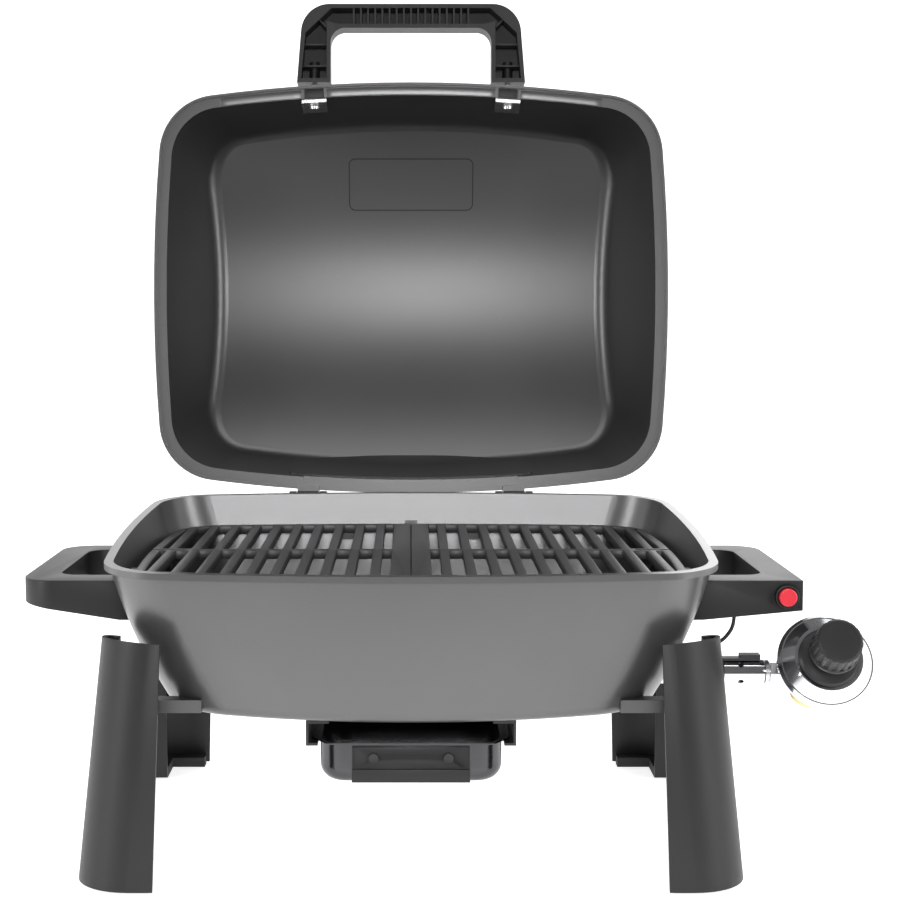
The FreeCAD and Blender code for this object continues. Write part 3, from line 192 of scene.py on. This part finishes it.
def moulded_plastic(name, colour, rough, grain=1900.0, strength=0.22, coat=0.0):
    """Moulded plastic with a fine spark-eroded grain, its colour lighter on raised edges."""
    finish = Finish(name, coat=coat, coat_roughness=0.18, specular=0.35)
    grain_height = finish.noise(grain, 2.0, 0.7)
    cloud = finish.noise(14.0, 3.0)
    lighter_edges = finish.edges(0.52, 0.6)
    base = finish.mixed(cloud, tone(colour, 0.85), tone(colour, 1.15))
    # colour lighter on raised edges
    finish.colour(finish.mixed(lighter_edges * 0.35, base, tone(colour, 2.0)))
    finish.rough(rough - 0.04 + cloud * 0.08)
    finish.bump(grain_height, strength, 0.0003)
    FINISHES[name] = finish.material


def cast_iron(name, colour, rough):
    """Enamelled cast iron: lumpy sand-cast skin under a thin glassy coat, pitted in places."""
    finish = Finish(name, coat=0.25, coat_roughness=0.3)
    sand = finish.noise(520.0, 4.0, 0.65)
    lumps = finish.noise(90.0, 3.0)
    pits = finish.cells(330.0)
    lighter_iron_edges = finish.edges(0.51, 0.58)
    base = finish.mixed(lumps, tone(colour, 0.75), tone(colour, 1.3))
    # colour lighter on raised edges
    finish.colour(finish.mixed(lighter_iron_edges * 0.5, base, tone(colour, 2.2)))
    finish.rough(rough + sand * 0.14 - 0.07)
    finish.bump(sand * 0.5 + lumps * 0.3 + finish.clamped(pits, 0.0, 0.35) * 0.2, 0.45, 0.0006)
    FINISHES[name] = finish.material


def plated(name, colour, rough):
    """Bright plating with faint polishing marks."""
    finish = Finish(name, metallic=1.0)
    smear = finish.noise(30.0, 4.0)
    marks = finish.noise(700.0, 2.0, 0.5, (1.0, 1.0, 0.08))
    finish.colour(finish.mixed(smear, tone(colour, 0.95), tone(colour, 1.03)))
    finish.rough(rough + smear * 0.05)
    finish.bump(marks, 0.04, 0.0002)
    FINISHES[name] = finish.material


def brushed(name, colour, rough, stretch, heat=0.0):
    """Rolled or brushed steel, its fine lines along one way, with heat tint where it is near the flame."""
    finish = Finish(name, metallic=1.0)
    lines = finish.noise(900.0, 3.0, 0.6, stretch)
    smear = finish.noise(22.0, 4.0)
    base = finish.mixed(lines, tone(colour, 0.85), tone(colour, 1.1))
    if heat:
        tint = finish.clamped(smear, 0.45, 0.75) * heat
        base = finish.mixed(tint, base, (0.42, 0.3, 0.2, 1.0))
    finish.colour(base)
    finish.rough(rough + lines * 0.12 + smear * 0.05)
    finish.bump(lines, 0.08, 0.0002)
    FINISHES[name] = finish.material


def rubber(name, colour, rough):
    finish = Finish(name, specular=0.35)
    dust = finish.noise(60.0, 4.0)
    skin = finish.noise(1500.0, 2.0)
    finish.colour(finish.mixed(finish.clamped(dust, 0.45, 0.8) * 0.5, tone(colour, 0.9), tone(colour, 1.8)))
    finish.rough(rough + dust * 0.1)
    finish.bump(skin, 0.2, 0.0003)
    FINISHES[name] = finish.material


# ---- modelling helpers ----

def deselect():
    if bpy.context.mode != "OBJECT":
        bpy.ops.object.mode_set(mode="OBJECT")
    bpy.ops.object.select_all(action="DESELECT")


def active(piece):
    deselect()
    piece.select_set(True)
    bpy.context.view_layer.objects.active = piece


def applied(piece, kind, **settings):
    """A modifier, set and applied."""
    active(piece)
    modifier = piece.modifiers.new(kind.title(), kind)
    for name, value in settings.items():
        setattr(modifier, name, value)
    bpy.ops.object.modifier_apply(modifier=modifier.name)
    return piece


def settled(piece):
    """Object at the origin, unturned, its place in its mesh."""
    active(piece)
    bpy.ops.object.transform_apply(location=True, rotation=True, scale=True)
    return piece


def smooth(piece, degrees=34.0):
    active(piece)
    bpy.ops.object.shade_smooth_by_angle(angle=math.radians(degrees))
    return piece


def owned(piece, name, node, stands_for=True, slot=None):
    """Give a finished piece its name, its body, its slot and its finish."""
    slot = slot or SLOT_OF[node]
    piece.name = name
    piece.data.name = name
    piece.data.materials.clear()
    piece.data.materials.append(FINISHES[slot])
    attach(piece, BODY_OF[node])
    if stands_for:
        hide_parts(node)
    return piece


def merged_copy(node, flat_faces_whole=True):
    """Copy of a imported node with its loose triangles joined."""
    source = NODES[node]
    piece = bpy.data.objects.new(node + "_copy", source.data.copy())
    bpy.context.scene.collection.objects.link(piece)
    active(piece)
    if piece.data.has_custom_normals:
        bpy.ops.mesh.customdata_custom_splitnormals_clear()
    bpy.ops.object.mode_set(mode="EDIT")
    bpy.ops.mesh.select_all(action="SELECT")
    bpy.ops.mesh.remove_doubles(threshold=0.000004)
    if flat_faces_whole:
        bpy.ops.mesh.dissolve_limited(angle_limit=math.radians(0.6), use_dissolve_boundaries=False)
    bpy.ops.object.mode_set(mode="OBJECT")
    return piece


def edge_softened(node, width, angle=38.0, segments=2, flat_faces_whole=True):
    """Stand-in for a node whose sharp corners get the small rounds of a real casting or moulding."""
    piece = merged_copy(node, flat_faces_whole)
    applied(piece, "BEVEL", width=width, segments=segments, limit_method="ANGLE",
            angle_limit=math.radians(angle), use_clamp_overlap=True, miter_outer="MITER_ARC")
    smooth(piece)
    return owned(piece, node + "_piece", node)


def lid_place():
    """Where the open lid's own frame stands."""
    hinge = Matrix.Translation(HINGE)
    closed = Matrix.Translation((0, 0, RIM_LEVEL)) @ Matrix.Rotation(math.radians(RIM_TILT), 4, "X")
    swing = hinge @ Matrix.Rotation(math.radians(-LID_OPEN), 4, "X") @ hinge.inverted()
    return Matrix.Translation(MIDDLE) @ swing @ closed


def on_lid(piece):
    piece.matrix_world = lid_place() @ piece.matrix_world
    return settled(piece)


def rim_bar(x_low, x_high, y_out, y_in, low, high):
    """Flat bar that follows the bow of the lid's front rim: a section swept about the middle of the bow."""
    centre = Vector((0.0, LID_BOW - LID_FRONT, 0.0))
    outer = centre.y + y_out
    lean = [math.asin(x / outer) for x in (x_low, x_high)]
    deselect()
    bpy.ops.mesh.primitive_plane_add(size=1)
    bar = bpy.context.active_object
    about = Matrix.Translation(centre) @ Matrix.Rotation(lean[0], 4, "Z") @ Matrix.Translation(-centre)
    section = Matrix.Rotation(math.pi / 2, 4, "Y") @ Matrix.Diagonal((high - low, y_out - y_in, 1, 1))
    bar.matrix_world = about @ Matrix.Translation((0, -(y_out + y_in) / 2, (low + high) / 2)) @ section
    settled(bar)
    bpy.ops.object.mode_set(mode="EDIT")
    bpy.ops.mesh.select_all(action="SELECT")
    steps = max(4, round((x_high - x_low) / 0.006))
    bpy.ops.mesh.spin(steps=steps, angle=lean[0] - lean[1], center=centre, axis=(0, 0, 1))
    bpy.ops.mesh.select_all(action="SELECT")
    bpy.ops.mesh.normals_make_consistent(inside=False)
    bpy.ops.object.mode_set(mode="OBJECT")
    applied(bar, "BEVEL", width=0.0003, segments=2, limit_method="ANGLE", angle_limit=math.radians(40))
    return smooth(on_lid(bar))


def rib(size, spot, lean=0.0):
    """Thin moulded rib in the lid's frame, its edges slightly rounded."""
    deselect()
    bpy.ops.mesh.primitive_cube_add(size=1)
    piece = bpy.context.active_object
    turn = Matrix.Rotation(lean, 4, "Z")
    piece.matrix_world = Matrix.Translation(spot) @ turn @ Matrix.Diagonal((*size, 1))
    settled(piece)
    applied(piece, "BEVEL", width=0.0005, segments=2, limit_method="ANGLE", angle_limit=math.radians(40))
    return smooth(on_lid(piece))


# ---- sizes and colours that a user may change ----

class GrillColours(bpy.types.PropertyGroup):
    basin: FloatVectorProperty(name="Basin", description="Coat of the basin", subtype="COLOR", size=3,
                               min=0, max=1, default=(0.135, 0.135, 0.137))
    lid: FloatVectorProperty(name="Lid", description="Coat of the lid", subtype="COLOR", size=3,
                             min=0, max=1, default=(0.095, 0.095, 0.096))
    plastic: FloatVectorProperty(name="Plastic", description="Legs and handles", subtype="COLOR", size=3,
                                 min=0, max=1, default=(0.012, 0.012, 0.0124))
    iron: FloatVectorProperty(name="Iron", description="Enamel of the grates", subtype="COLOR", size=3,
                              min=0, max=1, default=(0.028, 0.028, 0.029))
    button: FloatVectorProperty(name="Button", description="Igniter button", subtype="COLOR", size=3,
                                min=0, max=1, default=(0.72, 0.035, 0.055))


class GrillSizes(bpy.types.PropertyGroup):
    edge: FloatProperty(name="Edge round", description="Round on moulded edges", unit="LENGTH",
                        default=0.0012, min=0.0002, max=0.003)
    iron_edge: FloatProperty(name="Iron edge round", description="Round on cast bars", unit="LENGTH",
                             default=0.0013, min=0.0002, max=0.003)
    bar_segments: IntProperty(name="Segments", description="Faces across each round", default=2, min=1, max=4)


def colours():
    return bpy.context.scene.grill_colours


def sizes():
    return bpy.context.scene.grill_sizes


# ---- operators ----

class GRILL_OT_finishes(bpy.types.Operator):
    """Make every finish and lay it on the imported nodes"""
    bl_idname = "grill.finishes"
    bl_label = "Finishes"

    def execute(self, context):
        pick = colours()
        powder_coat("cast_shell", tuple(pick.basin), 0.34, 0.7)
        powder_coat("lid_shell", tuple(pick.lid), 0.38, 0.85, 1100.0)
        # near-black coat for the panel outline: painted shade along the step of the embossed panel
        powder_coat("painted_recess_shade", (0.012, 0.012, 0.012), 0.6, 0.2)
        moulded_plastic("black_plastic", tuple(pick.plastic), 0.46)
        moulded_plastic("shroud_plastic", (0.022, 0.022, 0.023), 0.3, strength=0.1)
        moulded_plastic("red_plastic", tuple(pick.button), 0.28, strength=0.03, coat=0.4)
        moulded_plastic("ceramic", (0.8, 0.78, 0.72), 0.2, strength=0.05, coat=0.3)
        cast_iron("cast_iron", tuple(pick.iron), 0.5)
        plated("chrome", (0.85, 0.86, 0.88), 0.08)
        plated("brass", (0.78, 0.6, 0.28), 0.25)
        brushed("steel", (0.7, 0.71, 0.72), 0.2, (1.0, 0.06, 1.0), 0.25)
        brushed("tray_steel", (0.09, 0.09, 0.095), 0.12, (0.06, 1.0, 1.0))
        brushed("die_cast", (0.5, 0.51, 0.52), 0.38, (1.0, 1.0, 1.0))
        powder_coat("black_steel", (0.02, 0.02, 0.021), 0.46, 0.0)
        rubber("rubber", (0.03, 0.03, 0.03), 0.7)
        brushed("burnt_steel", (0.12, 0.11, 0.105), 0.42, (0.06, 1.0, 1.0), 0.4)
        for node, piece in NODES.items():
            piece.data.materials.clear()
            scorched = node in ("burner_tube", "burner_bracket")
            piece.data.materials.append(FINISHES["burnt_steel" if scorched else SLOT_OF[node]])
        return {"FINISHED"}


class GRILL_OT_mouldings(bpy.types.Operator):
    """Soften the edges of the moulded handles and trims"""
    bl_idname = "grill.mouldings"
    bl_label = "Mouldings"

    def execute(self, context):
        for node in ("side_handle_left", "side_handle_right"):
            edge_softened(node, 2.2 * sizes().edge, segments=3)
        for node in ("tray_handle", "igniter_bezel"):
            edge_softened(node, 0.6 * sizes().edge)
        for node in ("leg_front_right", "leg_front_left", "leg_rear_right", "leg_rear_left", "control_knob"):
            edge_softened(node, 0.4 * sizes().edge)
        return {"FINISHED"}


class GRILL_OT_grates(bpy.types.Operator):
    """Soften the bars of the two cast grates"""
    bl_idname = "grill.grates"
    bl_label = "Grates"

    def execute(self, context):
        for node in ("grate_left", "grate_right"):
            edge_softened(node, sizes().iron_edge, segments=sizes().bar_segments, flat_faces_whole=False)
        return {"FINISHED"}


class GRILL_OT_lid_detail(bpy.types.Operator):
    """Rim bands, handle tabs and ribs, and the blank panel inside the lid"""
    bl_idname = "grill.lid_detail"
    bl_label = "Lid detail"

    def execute(self, context):
        for i, (low, high) in enumerate(((-0.187, -0.1075), (-0.0825, 0.0825), (0.1075, 0.187))):
            band = rim_bar(low, high, 0.1968, 0.1892, -0.0007, 0.0002)
            # the bands take the basin's lighter coat as a painted highlight: the lid's rim is brighter where
            # it catches the front light
            owned(band, f"rim_band_{i}", "lid_shell", False, "cast_shell")
        for side, name in ((-1, "left"), (1, "right")):
            centre = 0.095 * side
            tab = rim_bar(centre - 0.0095, centre + 0.0095, 0.1975, 0.1885, -0.0012, 0.0002)
            owned(tab, f"handle_tab_{name}", "lid_handle", False)
            for i, spot in enumerate((-0.2175, -0.2385)):
                post_rib = rib((0.0275, 0.0018, 0.018), (centre, spot, 0.011))
                owned(post_rib, f"post_rib_{name}_{i}", "lid_handle", False)
            corner_rib = rib((0.0018, 0.015, 0.018), (0.0883 * side, -0.2613, 0.011), math.radians(45 * side))
            owned(corner_rib, f"corner_rib_{name}", "lid_handle", False)
        panel = owned(self.panel(), "blank_panel", "lid_shell", False)
        # the panel outline is painted near black: painted shade in the step of the embossed panel
        panel.data.materials[0] = FINISHES["painted_recess_shade"]
        owned(self.vent_housing(), "vent_housing", "lid_shell", False)
        return {"FINISHED"}

    @staticmethod
    def panel():
        """Raised outline of a rounded rectangle that lies on the inside of the lid."""
        deselect()
        bpy.ops.mesh.primitive_plane_add(size=1)
        piece = bpy.context.active_object
        piece.matrix_world = Matrix.Translation((0, -0.11, 0.076)) @ Matrix.Diagonal((0.128, 0.0555, 1, 1))
        settled(piece)
        bpy.ops.object.mode_set(mode="EDIT")
        bpy.ops.mesh.select_all(action="SELECT")
        bpy.ops.mesh.bevel(offset=0.007, segments=6, affect="VERTICES")
        bpy.ops.mesh.select_all(action="SELECT")
        bpy.ops.mesh.inset(thickness=0.0011)
        bpy.ops.mesh.delete(type="FACE")
        bpy.ops.mesh.select_all(action="SELECT")
        bpy.ops.mesh.subdivide(number_cuts=7)
        bpy.ops.object.mode_set(mode="OBJECT")
        on_lid(piece)
        applied(piece, "SHRINKWRAP", target=NODES["lid_shell"], wrap_method="NEAREST_SURFACEPOINT",
                wrap_mode="ABOVE_SURFACE", offset=0.0001)
        applied(piece, "SOLIDIFY", thickness=0.0009, offset=0.0)
        return smooth(piece)

    @staticmethod
    def vent_housing():
        """Raised trapezoid over the vent, on the lid's rear wall."""
        deselect()
        bpy.ops.mesh.primitive_plane_add(size=1)
        piece = bpy.context.active_object
        piece.matrix_world = (Matrix.Translation((0, 0.16, 0.031)) @ Matrix.Rotation(math.pi / 2, 4, "X")
                              @ Matrix.Diagonal((0.26, 0.058, 1, 1)))
        settled(piece)
        for corner in piece.data.vertices:
            corner.select = corner.co.z > 0.031
        bpy.ops.object.mode_set(mode="EDIT")
        bpy.ops.transform.resize(value=(0.91, 1, 1))
        bpy.ops.mesh.bevel(offset=0.008, segments=4, affect="VERTICES")
        bpy.ops.mesh.select_all(action="SELECT")
        bpy.ops.mesh.quads_convert_to_tris()
        bpy.ops.mesh.subdivide(number_cuts=9)
        bpy.ops.object.mode_set(mode="OBJECT")
        on_lid(piece)
        applied(piece, "SHRINKWRAP", target=NODES["lid_shell"], wrap_method="NEAREST_SURFACEPOINT",
                wrap_mode="ABOVE_SURFACE", offset=0.0003)
        applied(piece, "SOLIDIFY", thickness=0.0022, offset=0.0)
        return smooth(piece)


class GRILL_OT_stage(bpy.types.Operator):
    """Pale floor that sweeps up all round, with painted shade on the floor in front, soft lights and the
    camera
    """
    bl_idname = "grill.stage"
    bl_label = "Stage"

    def execute(self, context):
        floor_radius, sweep, wall = 4.5, 2.0, 5.0
        deselect()
        bpy.ops.mesh.primitive_circle_add(vertices=96, radius=floor_radius, fill_type="NGON")
        floor = bpy.context.active_object
        bpy.ops.object.mode_set(mode="EDIT")
        bpy.ops.mesh.select_all(action="SELECT")
        for step in range(1, 9):
            angle = math.radians(90 * step / 8)
            radius = floor_radius + sweep * math.sin(angle)
            before = floor_radius + sweep * math.sin(angle - math.radians(90 / 8))
            rise = sweep * (math.cos(angle - math.radians(90 / 8)) - math.cos(angle))
            bpy.ops.mesh.extrude_region_move(TRANSFORM_OT_translate={"value": (0, 0, rise)})
            bpy.ops.transform.resize(value=(radius / before, radius / before, 1), center_override=(0, 0, 0))
        bpy.ops.mesh.extrude_region_move(TRANSFORM_OT_translate={"value": (0, 0, wall)})
        bpy.ops.mesh.delete(type="ONLY_FACE")
        bpy.ops.object.mode_set(mode="OBJECT")
        bpy.ops.object.shade_smooth()
        floor.name = "studio_floor"
        paper = Finish("studio_paper", specular=0.1)
        depth = paper.node("ShaderNodeSeparateXYZ", None, {"Vector": paper.place}, "Y")
        # painted shade: the floor in front of the grill is painted dark and glows little, so the basin and
        # lid reflect a dark studio there
        past_painted_shade = paper.clamped(depth, -1.15, -0.35)
        pale = paper.mixed(paper.noise(2.0, 2.0), (0.87, 0.87, 0.87, 1), (0.9, 0.9, 0.9, 1))
        paper.colour(paper.mixed(past_painted_shade, (0.12, 0.12, 0.12, 1), pale))
        paper.shader.inputs["Roughness"].default_value = 0.9
        paper.feed("Emission Color", paper.mixed(past_painted_shade, (0.06, 0.06, 0.06, 1), (1, 1, 1, 1)))
        paper.shader.inputs["Emission Strength"].default_value = 0.75
        floor.data.materials.append(paper.material)
        lamps = (
            ("overhead", (0.0, -0.5, 2.6), (0.0, 0.0, 0.2), 2.2, 1.4, 27.0),
            ("above_lens", (0.0, -1.9, 0.74), (0.0, 0.25, 0.5), 0.3, 0.7, 15.0),
            ("left_panel", (-1.9, -1.3, 0.7), (0.0, 0.0, 0.25), 0.5, 1.5, 24.0),
            ("right_panel", (1.9, -1.3, 0.7), (0.0, 0.0, 0.25), 0.5, 1.5, 24.0),
            ("rear_fill", (0.4, 2.6, 1.6), (0.0, 0.0, 0.3), 2.0, 1.4, 20.0),
        )
        for name, spot, aim, width, height, watts in lamps:
            deselect()
            bpy.ops.object.light_add(type="AREA", location=spot)
            lamp = bpy.context.active_object
            lamp.name = name
            lamp.data.shape = "RECTANGLE"
            lamp.data.size = width
            lamp.data.size_y = height
            lamp.data.energy = watts
            lamp.rotation_euler = (Vector(aim) - Vector(spot)).to_track_quat("-Z", "Y").to_euler()
            lamp.visible_camera = False
        world = bpy.data.worlds.new("studio")
        world.use_nodes = True
        world.node_tree.nodes["Background"].inputs[0].default_value = (1, 1, 1, 1)
        world.node_tree.nodes["Background"].inputs[1].default_value = 0.15
        context.scene.world = world
        deselect()
        bpy.ops.object.camera_add(location=(-0.028, -1.563, 0.447), rotation=(math.radians(85.17), 0, 0))
        camera = bpy.context.active_object
        camera.name = "front_camera"
        camera.data.lens = 70
        camera.data.sensor_width = 36
        camera.data.shift_x = 0.0433
        context.scene.camera = camera
        context.scene.view_settings.view_transform = "Standard"
        context.scene.view_settings.look = "None"
        return {"FINISHED"}


class GRILL_PT_panel(bpy.types.Panel):
    """Steps that finish the grill"""
    bl_idname = "GRILL_PT_panel"
    bl_label = "Camp Grill"
    bl_space_type = "VIEW_3D"
    bl_region_type = "UI"
    bl_category = "Camp Grill"

    def draw(self, context):
        layout = self.layout
        for group in (context.scene.grill_colours, context.scene.grill_sizes):
            for name in group.__annotations__:
                layout.prop(group, name)
        for step in STEPS:
            layout.operator(step.bl_idname)


STEPS = (GRILL_OT_stage, GRILL_OT_finishes, GRILL_OT_mouldings, GRILL_OT_grates, GRILL_OT_lid_detail)
CLASSES = (GrillColours, GrillSizes, *STEPS, GRILL_PT_panel)


def register():
    for item in CLASSES:
        bpy.utils.register_class(item)
    bpy.types.Scene.grill_colours = PointerProperty(type=GrillColours)
    bpy.types.Scene.grill_sizes = PointerProperty(type=GrillSizes)


def unregister():
    del bpy.types.Scene.grill_sizes
    del bpy.types.Scene.grill_colours
    for item in reversed(CLASSES):
        bpy.utils.unregister_class(item)


def main():
    register()
    for step in STEPS:
        area, name = step.bl_idname.split(".")
        getattr(getattr(bpy.ops, area), name)()


if __name__ == "__main__":
    main()
